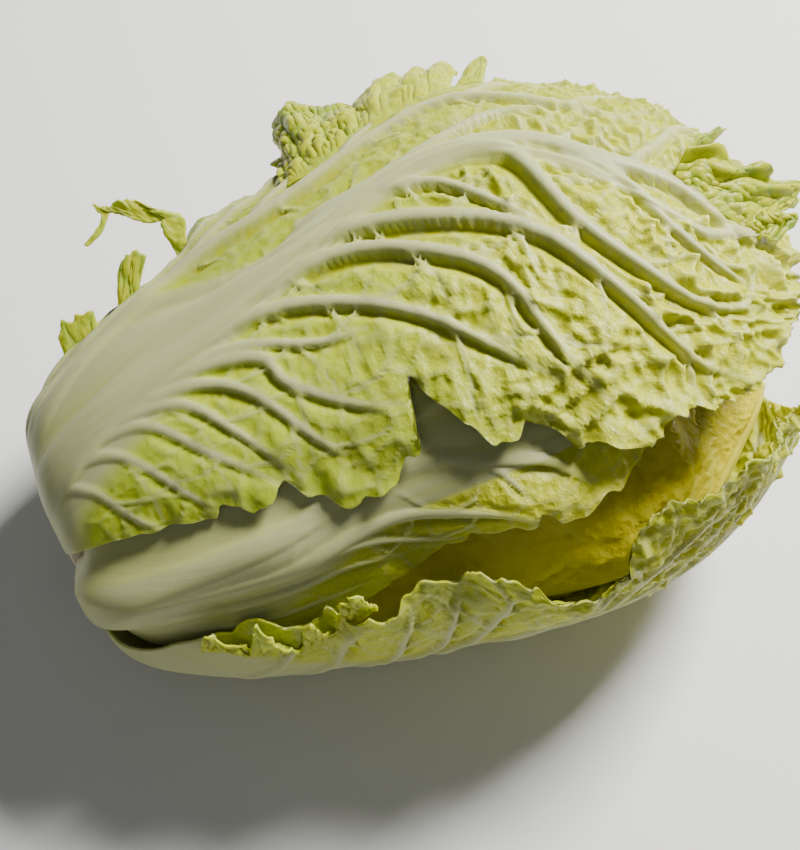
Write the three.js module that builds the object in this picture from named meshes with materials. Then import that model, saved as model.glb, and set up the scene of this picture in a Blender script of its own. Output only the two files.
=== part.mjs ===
// A napa cabbage lying on its side: a short core, ten loose leaves and the tight heart inside them.
// Every leaf is a closed sheet laid on the head's outline, at a depth that clears the leaves outside it.
import * as THREE from 'three';

// Driving sizes, in millimetres and degrees
const headOutline = [
  [0, 19], [-2, 30], [-2, 41], [4, 52], [18, 62], [44, 73], [80, 83], [120, 92], [155, 98], [185, 99],
  [212, 93], [236, 82], [256, 67], [268, 50], [276, 33], [280, 17], [281, 0],
];                          // place along the head and radius, from the cut butt to the tip
const headWidth = 1.06;     // the head is a little wider than round
const headHeight = 0.8;     // and flattened where it lies
const headPitch = 6;        // the butt lies lower than the tip
const restDepth = 6;        // how much of the underside is pressed flat, ribs and all
const pressedShare = 0.9;   // layer spacing that is left over the flat spot
const bladeThickness = 1.2;
const reliefRoom = 3.4;     // room for ribs and ruffles in each layer
const leafGap = 2.4;        // clear space to the next leaf
const fadeWidth = 30;       // how far from a margin the next leaf comes up to the outline
const fadeWidthAtButt = 7;
const leastRadius = 30;     // girth used near the tip, where the outline closes
const rowSweep = 0.85;      // rows of the sheet sweep forward to the margin, as side ribs do
const marginTooth = 3;      // how far the margin stands back between the ends of the side ribs
const coreRadius = 17.5;
const coreLength = 29;
const cavityDepth = 14;     // how far the inner leaves stand back in the open side of the head
const cavityPlace = { s: 232, theta: 60, length: 60, width: 26 };
const heartDepth = 33;
const heartTipDepth = 34;
const heartRows = 22;
const heartColumns = 30;

// The leaves from the outside in. Tables give angles in degrees at a length along the leaf:
// middle is where the midrib runs, near and far are the two margins measured from it.
const blade = [[0, 38], [60, 44], [110, 52], [170, 62], [230, 64], [290, 58], [345, 44]];
const narrow = [[0, 36], [60, 42], [110, 50], [170, 58], [230, 58], [290, 50], [345, 38]];
const leaves = [
  {
    name: 'leaf_01', tip: 352, drop: 18, ribs: 12, veins: 5, petiole: 7.5, phase: 0.4,
    middle: [[0, -8], [67, -12], [108, -13], [150, -17], [184, -22], [204, -23], [221, -21], [244, -13],
      [259, -4], [273, 6], [285, 14], [352, 22]],
    near: [[0, 36], [60, 40], [99, 42], [134, 51], [170, 54], [203, 60], [224, 66], [244, 60],
      [266, 44], [290, 28], [352, 24]],
    far: [[0, 38], [60, 50], [100, 54], [150, 58], [200, 58], [245, 62], [285, 76], [352, 72]],
    lift: { near: 2, far: 20, from: 40, to: 250 },
    tear: { from: 138, deepest: 164, to: 172, depth: 20 },
  },
  {
    name: 'leaf_02', tip: 338, drop: 20, ribs: 10, veins: 5, petiole: 7, phase: 2.1,
    middle: [[0, 130], [100, 130], [200, 128], [260, 120], [330, 108]],
    near: [[0, 38], [60, 52], [100, 74], [200, 82], [270, 76], [330, 60]],
    far: [[0, 38], [60, 60], [85, 66], [115, 67], [150, 69], [177, 64], [186, 52], [200, 49], [213, 55],
      [227, 62], [245, 62], [283, 50], [330, 42]],
    lift: { near: 0, far: 7, from: 170, to: 330 },
  },
  {
    name: 'leaf_03', tip: 350, drop: 22, ribs: 9, veins: 5, petiole: 7, phase: 3.3,
    middle: [[0, -84], [150, -88], [344, -80]],
    near: blade, far: blade, lift: { near: 0, far: 5, from: 120, to: 330 },
  },
  {
    name: 'leaf_04', tip: 250, drop: 18, ribs: 8, veins: 5, petiole: 7, phase: 5.2,
    middle: [[0, 56], [60, 46], [150, 40], [250, 42]],
    near: [[0, 38], [60, 44], [100, 40], [145, 22], [175, 17], [205, 16], [250, 12]], far: narrow, lift: { near: 0, far: 0, from: 0, to: 1 },
  },
  {
    name: 'leaf_05', tip: 344, drop: 20, ribs: 8, veins: 3, petiole: 6.5, phase: 1.2,
    middle: [[0, 202], [336, 206]],
    near: blade, far: narrow, lift: { near: 0, far: 0, from: 0, to: 1 },
  },
];

// The second whorl stands in the gaps of the first, all five alike but for their place
for (let n = 0; n < 5; n++) {
  const angle = 22 + 144 * n;
  leaves.push({
    name: 'leaf_' + String(n + 6).padStart(2, '0'), tip: 334 - 4 * (n % 3), drop: 20,
    ribs: 6, veins: 3, petiole: 4.5, phase: 1.7 * n,
    middle: [[0, angle], [340, angle + 6]],
    near: narrow, far: narrow, lift: { near: 0, far: 0, from: 0, to: 1 },
  });
}

const radians = THREE.MathUtils.degToRad;
const smooth = THREE.MathUtils.smoothstep;

// The outline as a smooth curve, measured off by its own length
const outlineSteps = 600;
const outlineCurve = new THREE.CatmullRomCurve3(
  headOutline.map(([x, r]) => new THREE.Vector3(x, r, 0)), false, 'catmullrom', 0.5);
const outlinePoints = outlineCurve.getPoints(outlineSteps);
const outlineLengths = [0];
for (let n = 1; n <= outlineSteps; n++) {
  outlineLengths.push(outlineLengths[n - 1] + outlinePoints[n].distanceTo(outlinePoints[n - 1]));
}
const outlineLength = outlineLengths[outlineSteps];

// Place and direction of the outline at length s
function onOutline(s) {
  const length = THREE.MathUtils.clamp(s, 0, outlineLength);
  let n = 1;
  while (n < outlineSteps && outlineLengths[n] < length) {
    n += 1;
  }
  const before = outlinePoints[n - 1];
  const after = outlinePoints[n];
  const along = (length - outlineLengths[n - 1]) / (outlineLengths[n] - outlineLengths[n - 1]);
  const point = before.clone().lerp(after, along);
  const ahead = outlinePoints[Math.min(n + 3, outlineSteps)];
  const behind = outlinePoints[Math.max(n - 4, 0)];
  const direction = ahead.clone().sub(behind).normalize();
  return { x: point.x, r: point.y, dx: direction.x, dr: direction.y };
}

// Girth used to turn an angle into a distance across the head
function girth(s) {
  return Math.max(0.93 * onOutline(s).r, leastRadius);
}

// The head's own point at length s and angle theta (0 is the top), set in by depth
function placeUnpressed(s, theta, depth) {
  const at = onOutline(s);
  const along = at.x + depth * at.dr;
  const radius = at.r - depth * at.dx;
  const y = -radius * Math.sin(theta) * headWidth;
  const z = radius * Math.cos(theta) * headHeight;
  const pitch = radians(headPitch);
  return new THREE.Vector3(
    along * Math.cos(pitch) - z * Math.sin(pitch), y, along * Math.sin(pitch) + z * Math.cos(pitch));
}

let lowest = 0;
for (let s = 0; s < outlineLength; s += 1) {
  lowest = Math.min(lowest, placeUnpressed(s, Math.PI, 0).z);
}
const restHeight = lowest + restDepth;

// The same point with the underside pressed flat where the head rests, each layer on the one below
function place(s, theta, depth, layer) {
  const point = placeUnpressed(s, theta, depth);
  point.z = Math.max(point.z, restHeight + pressedShare * layer);
  return point;
}

// A value read from a table of places and values, on a smooth line through them
function read(table, s) {
  const last = table.length - 1;
  if (s <= table[0][0]) {
    return table[0][1];
  }
  if (s >= table[last][0]) {
    return table[last][1];
  }
  let n = 0;
  while (table[n + 1][0] < s) {
    n += 1;
  }
  const slope = (a, b) => (table[b][1] - table[a][1]) / (table[b][0] - table[a][0]);
  const step = table[n + 1][0] - table[n][0];
  const startSlope = n > 0 ? slope(n - 1, n + 1) : slope(n, n + 1);
  const endSlope = n + 1 < last ? slope(n, n + 2) : slope(n, n + 1);
  const u = (s - table[n][0]) / step;
  return (2 * u ** 3 - 3 * u ** 2 + 1) * table[n][1] + (u ** 3 - 2 * u ** 2 + u) * step * startSlope
    + (3 * u ** 2 - 2 * u ** 3) * table[n + 1][1] + (u ** 3 - u ** 2) * step * endSlope;
}

// An angle taken the short way round
function wrap(angle) {
  return angle - 2 * Math.PI * Math.round(angle / (2 * Math.PI));
}

// Distance across from a leaf's midrib, in millimetres, with the margin's distance there
function across(leaf, s, theta) {
  const turn = wrap(theta - radians(read(leaf.middle, s)));
  const margin = radians(read(turn > 0 ? leaf.near : leaf.far, s));
  return { distance: Math.abs(turn) * girth(s), margin: margin * girth(s), share: Math.abs(turn) / margin };
}

// Half the width of the fleshy stalk, and how thick it is over the blade
function stalkWidth(s) {
  return read([[0, 24], [60, 29], [100, 27], [150, 20], [200, 12], [260, 6], [330, 3]], s);
}

function stalkThickness(leaf, s, distance, margin) {
  const middle = leaf.petiole * read([[0, 1], [60, 1], [130, 0.7], [200, 0.35], [270, 0.14], [330, 0.05]], s);
  return middle * (1 - smooth(distance / Math.min(stalkWidth(s), 0.66 * margin), 0.4, 1.5));
}

// How far a tear cuts into the near margin, in degrees: a long slope up to it and a short one back
function tearDepth(leaf, s) {
  if (!leaf.tear) {
    return 0;
  }
  const { from, deepest, to, depth } = leaf.tear;
  return depth * smooth(s, from, deepest) * (1 - smooth(s, deepest, to));
}

// A leaf's length along a line that runs at the given share of its width
function leafEnd(leaf, share) {
  return leaf.tip - leaf.drop * share * share;
}

// Room that a leaf takes from the leaves inside it: all of it under the leaf, less past its margin
function roomOf(leaf, s, theta) {
  const { distance, margin, share } = across(leaf, s, theta);
  const beside = Math.max(distance - margin, 0);
  const beyond = Math.max(s - leafEnd(leaf, Math.min(share, 1)), 0);
  const fade = fadeWidthAtButt + (fadeWidth - fadeWidthAtButt) * smooth(s, 0, 90);
  const cover = 1 - smooth(Math.hypot(beside, beyond), 0.1 * fade, fade);
  return (reliefRoom + bladeThickness + leafGap + stalkThickness(leaf, s, distance, margin)) * cover;
}

// The open side of the head, where the inner leaves stand back
function cavity(s, theta) {
  const turn = wrap(theta - radians(cavityPlace.theta)) / radians(cavityPlace.width);
  const along = (s - cavityPlace.s) / cavityPlace.length;
  return cavityDepth * Math.exp(-turn * turn - along * along);
}

function layerDepth(order, s, theta) {
  let depth = order > 4 ? cavity(s, theta) : 0;
  for (const outer of leaves.slice(0, order)) {
    depth += roomOf(outer, s, theta);
  }
  return depth;
}

// Lines of a sheet that carries a number of ridges: each ridge has a foot, a crest and a foot
const ribHalf = 0.2;
const veinHalf = 1 / 3;
function ridgeLines(count, half) {
  const lines = [0];
  for (let n = 0; n < count; n++) {
    lines.push((n + 0.5 - half) / count, (n + 0.5) / count, (n + 0.5 + half) / count);
  }
  lines.push(1);
  return lines;
}

// Height of the ridge nearest to a place between 0 and 1, from 0 at its feet to 1 on its crest
function ridge(place, count, half) {
  const turn = place * count;
  return Math.max(0, 1 - Math.abs(turn - Math.floor(turn) - 0.5) / half);
}

// One point of a leaf's sheet: t runs from the butt to the tip, v from the far to the near margin
function leafPoint(order, t, v, side) {
  const leaf = leaves[order];
  const share = Math.abs(v);
  const sweep = t + rowSweep * Math.pow(share, 1.2) * t * (1 - t);
  const s = leafEnd(leaf, share) * sweep;
  const margin = radians(read(v > 0 ? leaf.near : leaf.far, s));
  const sideRib = ridge(t, leaf.ribs, ribHalf);
  const crossVein = 0.45 * ridge((v + 1) / 2, leaf.veins, veinHalf);
  const tooth = share === 1 ? marginTooth * (sideRib - 1) : 0;
  const reach = margin - (v > 0 ? radians(tearDepth(leaf, s)) : 0) + tooth / girth(s);
  const theta = radians(read(leaf.middle, s)) + v * reach;
  const distance = share * reach * girth(s);
  const stalk = distance / stalkWidth(s);

  const rib = Math.max(sideRib * (1 - 0.4 * share), crossVein) * smooth(stalk, 0.5, 1.3) * smooth(s, 30, 80);
  const midrib = 1 - smooth(stalk, 0, 1.5);
  const ruffle = (0.5 + 0.5 * Math.sin(19 * t + leaf.phase + 2 * v)) * Math.pow(share, 3);
  const lifted = leaf.lift;
  const swell = smooth(s, lifted.from, lifted.from + 50) * (1 - smooth(s, lifted.to - 60, lifted.to));
  const lobes = 0.7 + 0.3 * Math.sin(s / 9 + leaf.phase);
  const lift = (v > 0 ? lifted.near : lifted.far) * swell * lobes * Math.pow(share, 4);

  const layer = layerDepth(order, s, theta);
  const base = layer + reliefRoom * (1 - 0.3 * ruffle) - lift;
  if (side === 'outer') {
    return place(s, theta, base - reliefRoom * 0.8 * Math.max(rib, midrib), layer);
  }
  const thickness = bladeThickness + stalkThickness(leaf, s, distance, margin * girth(s));
  return place(s, theta, base + thickness, layer + thickness);
}

// Closes an outer and an inner grid of points into one solid, split alike on both faces
function sheetGeometry(along, over, pointAt) {
  const positions = [];
  for (const side of ['outer', 'inner']) {
    for (const t of along) {
      for (const u of over) {
        positions.push(...pointAt(t, 2 * u - 1, side).toArray());
      }
    }
  }
  const rows = along.length - 1;
  const columns = over.length - 1;
  const layer = (rows + 1) * (columns + 1);
  const at = (i, j) => i * (columns + 1) + j;
  const indices = [];
  const quad = (a, b, c, d) => indices.push(a, c, b, a, d, c);
  for (let i = 0; i < rows; i++) {
    for (let j = 0; j < columns; j++) {
      const [a, b, c, d] = [at(i, j), at(i + 1, j), at(i + 1, j + 1), at(i, j + 1)];
      quad(a, b, c, d);
      indices.push(a + layer, b + layer, c + layer, a + layer, c + layer, d + layer);
    }
  }
  for (let i = 0; i < rows; i++) {
    quad(at(i, 0), at(i, 0) + layer, at(i + 1, 0) + layer, at(i + 1, 0));
    quad(at(i, columns), at(i + 1, columns), at(i + 1, columns) + layer, at(i, columns) + layer);
  }
  for (let j = 0; j < columns; j++) {
    quad(at(0, j), at(0, j + 1), at(0, j + 1) + layer, at(0, j) + layer);
    quad(at(rows, j), at(rows, j) + layer, at(rows, j + 1) + layer, at(rows, j + 1));
  }
  const geometry = new THREE.BufferGeometry();
  geometry.setAttribute('position', new THREE.Float32BufferAttribute(positions, 3));
  geometry.setIndex(indices);
  geometry.computeVertexNormals();
  return geometry;
}

// The heart is the closed mass of small leaves: their edges stand up as overlapping steps with ribs
function heartPoint(i, theta) {
  const s = outlineLength * i / heartRows;
  const toTip = smooth(s, outlineLength - 50, outlineLength - 15);
  const toButt = 1 - smooth(s, 15, 60);
  const settled = Math.max(toTip, toButt);
  const turns = 5 * theta / (2 * Math.PI) + s / 190;
  const step = turns - Math.floor(turns);
  const relief = 2.2 * step + 0.8 * Math.sin(theta * 15) * (1 - step);
  const depth = layerDepth(leaves.length, s, theta) + 4.5 + relief * smooth(s, 60, 120) * (1 - toTip);
  const settledDepth = depth * (1 - settled) + heartDepth * toButt + heartTipDepth * toTip;
  return place(s, theta, settledDepth, settledDepth);
}

function heartGeometry() {
  const positions = [];
  for (let i = 0; i < heartRows; i++) {
    for (let j = 0; j < heartColumns; j++) {
      positions.push(...heartPoint(i, 2 * Math.PI * j / heartColumns).toArray());
    }
  }
  const butt = positions.length / 3;
  positions.push(...placeUnpressed(0, 0, heartDepth).lerp(placeUnpressed(0, Math.PI, heartDepth), 0.5).toArray());
  const tip = butt + 1;
  positions.push(...heartPoint(heartRows, 0).toArray());
  const indices = [];
  for (let j = 0; j < heartColumns; j++) {
    const next = (j + 1) % heartColumns;
    for (let i = 0; i < heartRows - 1; i++) {
      const [a, b] = [i * heartColumns + j, (i + 1) * heartColumns + j];
      const [c, d] = [(i + 1) * heartColumns + next, i * heartColumns + next];
      indices.push(a, c, b, a, d, c);
    }
    const top = (heartRows - 1) * heartColumns;
    indices.push(butt, next, j, tip, top + j, top + next);
  }
  const geometry = new THREE.BufferGeometry();
  geometry.setAttribute('position', new THREE.Float32BufferAttribute(positions, 3));
  geometry.setIndex(indices);
  geometry.computeVertexNormals();
  return geometry;
}

// The core is the stem's cut stub, which all the leaves grow from
function coreGeometry() {
  const profile = [
    [0, -1], [coreRadius - 1, -1], [coreRadius, 0], [coreRadius, 0.7 * coreLength],
    [0.75 * coreRadius, 0.9 * coreLength], [0, coreLength],
  ];
  const geometry = new THREE.LatheGeometry(profile.map(([r, x]) => new THREE.Vector2(r, x)), 24);
  geometry.rotateZ(-Math.PI / 2);
  geometry.scale(1, headWidth, headHeight);
  geometry.rotateY(-radians(headPitch));
  return geometry;
}

function finish(color, roughness) {
  return new THREE.MeshStandardMaterial({ color, roughness, metalness: 0 });
}

const head = new THREE.Group();
function add(name, geometry, material) {
  const mesh = new THREE.Mesh(geometry, material);
  mesh.name = name;
  head.add(mesh);
}

add('core', coreGeometry(), finish(0xe9e6d2, 0.7));
leaves.forEach((leaf, order) => {
  const pointAt = (t, v, side) => leafPoint(order, t, v, side);
  const sheet = sheetGeometry(ridgeLines(leaf.ribs, ribHalf), ridgeLines(leaf.veins, veinHalf), pointAt);
  add(leaf.name, sheet, finish(order < 5 ? 0xc6d884 : 0xdfe08a, 0.5));
});
add('heart', heartGeometry(), finish(0xe8df86, 0.55));

// The head stands on the ground with its box centred over the origin
const box = new THREE.Box3().setFromObject(head);
const middle = box.getCenter(new THREE.Vector3());
head.position.set(-middle.x, -middle.y, -box.min.z);
const group = new THREE.Group();
group.add(head);

export default group;
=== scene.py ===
import bpy
import numpy as np
from mathutils import Matrix, Vector


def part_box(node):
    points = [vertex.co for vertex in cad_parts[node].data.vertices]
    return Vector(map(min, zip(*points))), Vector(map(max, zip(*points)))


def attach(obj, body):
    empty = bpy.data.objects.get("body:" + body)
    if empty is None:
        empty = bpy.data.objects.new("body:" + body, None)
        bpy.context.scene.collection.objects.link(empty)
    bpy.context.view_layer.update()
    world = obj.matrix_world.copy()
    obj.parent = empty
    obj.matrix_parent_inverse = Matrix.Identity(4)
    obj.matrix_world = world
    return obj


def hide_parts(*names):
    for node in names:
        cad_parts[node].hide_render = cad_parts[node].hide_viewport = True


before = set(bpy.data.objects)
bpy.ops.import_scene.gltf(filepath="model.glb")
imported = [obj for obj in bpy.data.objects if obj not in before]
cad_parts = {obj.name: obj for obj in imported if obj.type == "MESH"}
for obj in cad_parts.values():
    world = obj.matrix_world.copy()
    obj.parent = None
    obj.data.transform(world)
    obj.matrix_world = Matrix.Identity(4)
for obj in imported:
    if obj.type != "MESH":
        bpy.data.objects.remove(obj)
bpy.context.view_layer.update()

# the head's form, in millimetres and degrees, the same as the solids of the frame
head = {
    "outline": [
        (0, 19), (-2, 30), (-2, 41), (4, 52), (18, 62), (44, 73), (80, 83), (120, 92), (155, 98), (185, 99),
        (212, 93), (236, 82), (256, 67), (268, 50), (276, 33), (280, 17), (281, 0)],  # along the head, radius
    "width": 1.06, "height": 0.8, "pitch": 6,  # the round form widened, flattened, its tip raised
    "restDepth": 6, "pressedShare": 0.9,  # how far the resting side is pressed flat, what a layer keeps there
    "leastRadius": 30, "coreRadius": 17.5,
    "cavityDepth": 10, "cavityAt": 232, "cavityTurn": 60, "cavityLength": 60, "cavityWidth": 26,  # the open side
    "tipDip": 38, "tipFrom": 245, "tipTo": 290,  # how far the inner leaves stand back at the tip
    "fullRise": 6.5, "fullAt": 212, "fullTurn": 92, "fullLength": 45, "fullWidth": 15,  # where they stand full
    "fadeAtButt": 12, "fade": 30,  # how softly a layer ends past its leaf's margin
    "outlineSteps": 600, "softened": 6,
}
pitch = np.radians(head["pitch"])


def smooth(x, low, high):
    # a soft step from 0 at low to 1 at high
    u = np.clip((np.asarray(x, float) - low) / (high - low), 0, 1)
    return u * u * (3 - 2 * u)


def readTable(table, s):
    # a smooth line through places and values: cubic pieces, each slope taken from the neighbouring points
    x, y = np.array(table, float).T
    slope = np.empty_like(y)
    slope[1:-1] = (y[2:] - y[:-2]) / (x[2:] - x[:-2])
    slope[0] = (y[1] - y[0]) / (x[1] - x[0])
    slope[-1] = (y[-1] - y[-2]) / (x[-1] - x[-2])
    s = np.clip(s, x[0], x[-1])
    n = np.clip(np.searchsorted(x, s, "right") - 1, 0, len(x) - 2)
    step = x[n + 1] - x[n]
    u = (s - x[n]) / step
    return ((2 * u**3 - 3 * u**2 + 1) * y[n] + (u**3 - 2 * u**2 + u) * step * slope[n]
            + (3 * u**2 - 2 * u**3) * y[n + 1] + (u**3 - u**2) * step * slope[n + 1])


def wrap(angle):
    # an angle taken the short way round
    return angle - 2 * np.pi * np.round(angle / (2 * np.pi))


# the outline as fine points, with its length so far and its direction, softened over a few steps
outlinePlace = np.arange(head["outlineSteps"] + 1) * (len(head["outline"]) - 1) / head["outlineSteps"]
outlinePoints = np.stack([
    readTable([(n, point[axis]) for n, point in enumerate(head["outline"])], outlinePlace) for axis in (0, 1)], -1)
outlineLengths = np.concatenate([[0], np.cumsum(np.linalg.norm(np.diff(outlinePoints, axis=0), axis=1))])
outlineLength = outlineLengths[-1]
outlineTurn = np.gradient(outlinePoints, axis=0)
window = 2 * head["softened"] + 1
outlineTurn = np.stack([
    np.convolve(np.pad(outlineTurn[:, k], head["softened"], "edge"), np.ones(window) / window, "valid")
    for k in (0, 1)], -1)
outlineTurn /= np.linalg.norm(outlineTurn, axis=1)[:, None]


def onOutline(s):
    # the outline's place along the head, its radius and its direction at length s
    values = [outlinePoints[:, 0], outlinePoints[:, 1], outlineTurn[:, 0], outlineTurn[:, 1]]
    return [np.interp(s, outlineLengths, value) for value in values]


def girth(s):
    # millimetres round the head for one radian, for the charts of the leaves
    return np.maximum(0.93 * onOutline(s)[1], head["leastRadius"])


def placeFree(s, theta, depth):
    # the outline turned about the head's axis (theta is 0 on top), set in by depth, squashed and pitched
    x, r, dx, dr = onOutline(s)
    along = x + depth * dr
    radius = r - depth * dx
    y = -radius * np.sin(theta) * head["width"]
    z = radius * np.cos(theta) * head["height"]
    return np.stack([along * np.cos(pitch) - z * np.sin(pitch), y, along * np.sin(pitch) + z * np.cos(pitch)], -1)


restHeight = placeFree(np.arange(0, outlineLength, 1.0), np.pi, 0.0)[:, 2].min() + head["restDepth"]
coreLow = np.array([
    -np.cos(pitch) - (head["coreRadius"] - 1) * head["height"] * np.sin(pitch),
    -head["coreRadius"] * head["width"],
    -head["coreRadius"] * head["height"] * np.cos(pitch)])  # the core's lowest corner about the head's own axis
shift = np.array(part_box("core")[0]) * 1000 - coreLow


def place(s, theta, depth, layer):
    # the head's point in metres in the frame, no lower than the rest height, so that it is flat where it rests
    point = placeFree(s, theta, depth)
    point[..., 2] = np.maximum(point[..., 2], restHeight + head["pressedShare"] * layer)
    return (point + shift) / 1000


# the leaves from the outside in, in tables by the length along the head (mm). angles round the head in degrees:
# middle the midrib, near and far the half widths on both sides, Form and Edge where the sheet ends before and after
# it is cut to its margin. lengths in mm: room the depth that a leaf and its relief take, pale the half width of the
# white stalk (paleFar is the far side's share of it), Flare how far a margin turns out
broad = [(0, 38), (60, 44), (110, 52), (170, 62), (230, 64), (290, 58), (345, 44)]
narrow = [(0, 36), (60, 42), (110, 50), (170, 58), (230, 58), (290, 50), (345, 38)]
flat = [(0, 0), (350, 0)]
common = {
    "room": 8.6, "petiole": 7, "base": 3.6, "crinkle": 0.9, "folds": 1, "calmFar": 0, "strands": 0.8,
    "branchEvery": 15, "foldEvery": 6.5, "ribCount": 9, "near": broad, "far": broad, "slot": "outer_leaf",
    "pale": [(0, 36), (60, 30), (100, 20), (150, 10), (200, 6), (260, 3.5), (340, 1.5)],
    "paleFar": [(0, 1.25), (350, 1.25)], "nearFlare": flat,
    "farFlare": [(0, 0), (90, 0), (150, 5), (250, 6), (350, 3)],
    "green": [(0, 0), (80, 0.3), (200, 0.5), (350, 0.4)], "greenNear": 0.5, "tipGreen": 0, "sideGreen": 0,
    # the share of painted shade added toward a leaf's tip
    "tipShade": 0,
}
leaves = [
    {
        "name": "leaf_01", "tip": 352, "drop": 18, "rows": 300, "columns": 162, "petiole": 7.5,
        "base": 2.4, "seed": 11, "crinkle": 1.0, "calmFar": 0.75, "strands": 2.0, "warmth": (0.1, 0.9),
        "middle": [(0, -8), (67, -12), (108, -13), (150, -17), (184, -22), (204, -23), (221, -21), (244, -13),
                   (259, -4), (273, 6), (285, 14), (352, 22)],
        "near": [(0, 36), (60, 40), (99, 42), (134, 51), (170, 54), (203, 60), (224, 66), (244, 60),
                 (266, 46), (290, 34), (352, 24)],
        "far": [(0, 38), (60, 50), (100, 54), (150, 58), (200, 58), (245, 62), (285, 76), (352, 72)],
        "pale": [(0, 36), (33, 32), (46, 25), (59, 22), (78, 18), (95, 14.5), (112, 10), (130, 7.5), (146, 6),
                 (165, 4.4), (200, 3.4), (240, 2.8), (280, 2.2), (345, 1.2)],
        "paleFar": [(0, 1.5), (60, 1.75), (95, 2.2), (112, 2.1), (135, 1.6), (160, 1.1), (180, 1), (350, 1)],
        "farFlare": [(0, 0), (30, -2.5), (60, -3.2), (68, -2), (76, -3.2), (86, -3.2), (94, -1.5), (103, -3.2),
                     (112, -2), (122, 2), (138, 3), (150, 0), (198, 0), (208, 4), (218, 3), (228, 2), (238, 0),
                     (247, -1), (256, -3.2), (275, -3.8), (325, -3.5), (352, -1)],
        "farEdge": [(0, -46), (60, -56), (100, -60), (150, -70), (165, -82), (185, -80), (200, -74), (215, -80),
                    (235, -78), (250, -72), (300, -62), (352, -50)],
        "nearForm": [(0, 30), (60, 30), (80, 32), (110, 34), (125, 38), (150, 39), (200, 46), (225, 53), (260, 54),
                     (290, 55), (352, 46)],
        "nearEdge": [(0, 28), (32, 26), (60, 26), (69, 28), (76, 27), (84, 29.5), (89, 29), (93, 26), (102, 30),
                     (110, 30), (115, 26), (121, 33), (130, 36), (145, 36.5), (155, 34), (161, 33), (163, 27),
                     (165, 21), (167, 16), (169, 19), (173, 25), (179, 31), (186, 36), (195, 36.5), (203, 38),
                     (208, 43), (214, 42), (222, 46), (230, 48), (237, 45), (248, 47), (257, 51), (268, 51), (280, 53),
                     (292, 52), (310, 48), (352, 40)],
        "nearFlare": [(0, 0), (40, -2.5), (130, -2.5), (158, 0), (200, 2), (350, 3)],
        "green": [(0, 0), (60, 0.3), (120, 0.6), (170, 1), (200, 0.6), (240, 0.5), (300, 0.6), (335, 1), (352, 1)],
        "greenNear": 0.25, "branchEvery": 19, "tipGreen": 0.9, "sideGreen": 0.4, "tipShade": 0.45,
    },
    {
        "name": "leaf_02", "tip": 310, "drop": 12, "rows": 280, "columns": 172, "seed": 23, "crinkle": 0.8,
        "base": 2.8, "folds": 0.25, "warmth": (0.7, 1.0), "tipShade": 0.25,
        "middle": [(0, 130), (100, 130), (200, 128), (260, 120), (330, 108)],
        "near": [(0, 38), (60, 52), (100, 74), (200, 82), (270, 76), (330, 60)],
        "far": [(0, 38), (60, 60), (85, 66), (115, 67), (150, 69), (177, 64), (186, 56), (200, 53), (213, 55),
                (227, 62), (245, 62), (283, 50), (330, 42)],
        "pale": [(0, 40), (40, 32), (90, 20), (130, 13), (180, 8), (240, 5), (340, 2)],
        "paleMiddle": [(0, 112), (100, 110), (160, 108), (220, 104), (280, 96), (325, 92)],
        "farForm": [(0, 90), (50, 76), (90, 64), (130, 55), (200, 55), (260, 55), (300, 56), (338, 60)],
        "farEdge": [(0, 92), (45, 80), (60, 72), (68, 66), (76, 69), (84, 64), (100, 69), (108, 68), (113, 63),
                    (127, 61), (139, 57.5), (147, 57.5), (156, 61), (166, 60), (174, 61), (180, 65), (185, 69),
                    (192, 76), (204, 77), (213, 65), (221, 59), (235, 59), (245, 60), (258, 57.5), (272, 58), (280, 62),
                    (288, 69), (296, 78), (304, 88), (312, 96)],
        "farFlare": [(0, 0), (40, -2), (76, -2.5), (92, -1.5), (104, -1), (112, 0), (120, 7), (140, 7), (158, 4),
                     (170, 8), (200, 5), (225, 6), (250, 8), (268, 9), (280, 5), (292, 1), (338, 0)],
        "paleFar": [(0, 1.7), (60, 1.8), (95, 1.4), (130, 1), (350, 1)], "greenNear": 0.2, "branchEvery": 11,
        "foldEvery": 5,
    },
    {
        "name": "leaf_03", "tip": 350, "drop": 22, "rows": 210, "columns": 120, "seed": 37, "warmth": (0.1, 0.6),
        "middle": [(0, -84), (150, -88), (344, -80)],
    },
    {
        "name": "leaf_04", "tip": 250, "drop": 18, "rows": 200, "columns": 120, "room": 7.5,
        "base": 0.9, "seed": 41, "crinkle": 0.35, "warmth": (0.75, 0.95), "branchEvery": 30,
        "middle": [(0, 56), (60, 46), (150, 40), (250, 42)],
        "near": [(0, 38), (60, 44), (100, 40), (145, 22), (175, 17), (205, 16), (250, 12)], "far": narrow,
        "pale": [(0, 70), (40, 58), (70, 46), (95, 32), (115, 20), (135, 12), (160, 7), (200, 5), (250, 3)],
        "farFlare": flat, "green": flat, "strands": 0.2,
        "paleFar": [(0, 1.25), (110, 1.6), (140, 3.6), (180, 4.5), (250, 3)],
    },
    {
        "name": "leaf_05", "tip": 344, "drop": 20, "rows": 150, "columns": 100, "petiole": 6.5, "room": 7.5,
        "seed": 53, "warmth": (0.1, 0.6), "middle": [(0, 202), (336, 206)], "far": narrow, "farFlare": flat,
    },
]
for n in range(5):  # the second whorl stands in the gaps of the first
    angle = 22 + 144 * n
    leaves.append({
        "name": "leaf_%02d" % (n + 6), "tip": (320, 330, 326, 316, 330)[n], "drop": 20, "rows": 110, "columns": 74,
        "petiole": 4.5, "room": 7, "seed": 61 + n, "slot": "inner_leaf", "crinkle": 0.5, "warmth": (0.6, 1.0),
        "middle": [(0, angle), (340, angle + 6)], "near": narrow, "far": narrow, "farFlare": flat,
        "pale": [(0, 34), (60, 26), (100, 14), (150, 6), (200, 3.5), (340, 1.5)]})
leaves = [{**common, **leaf} for leaf in leaves]
firstWhorl = 5


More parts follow.
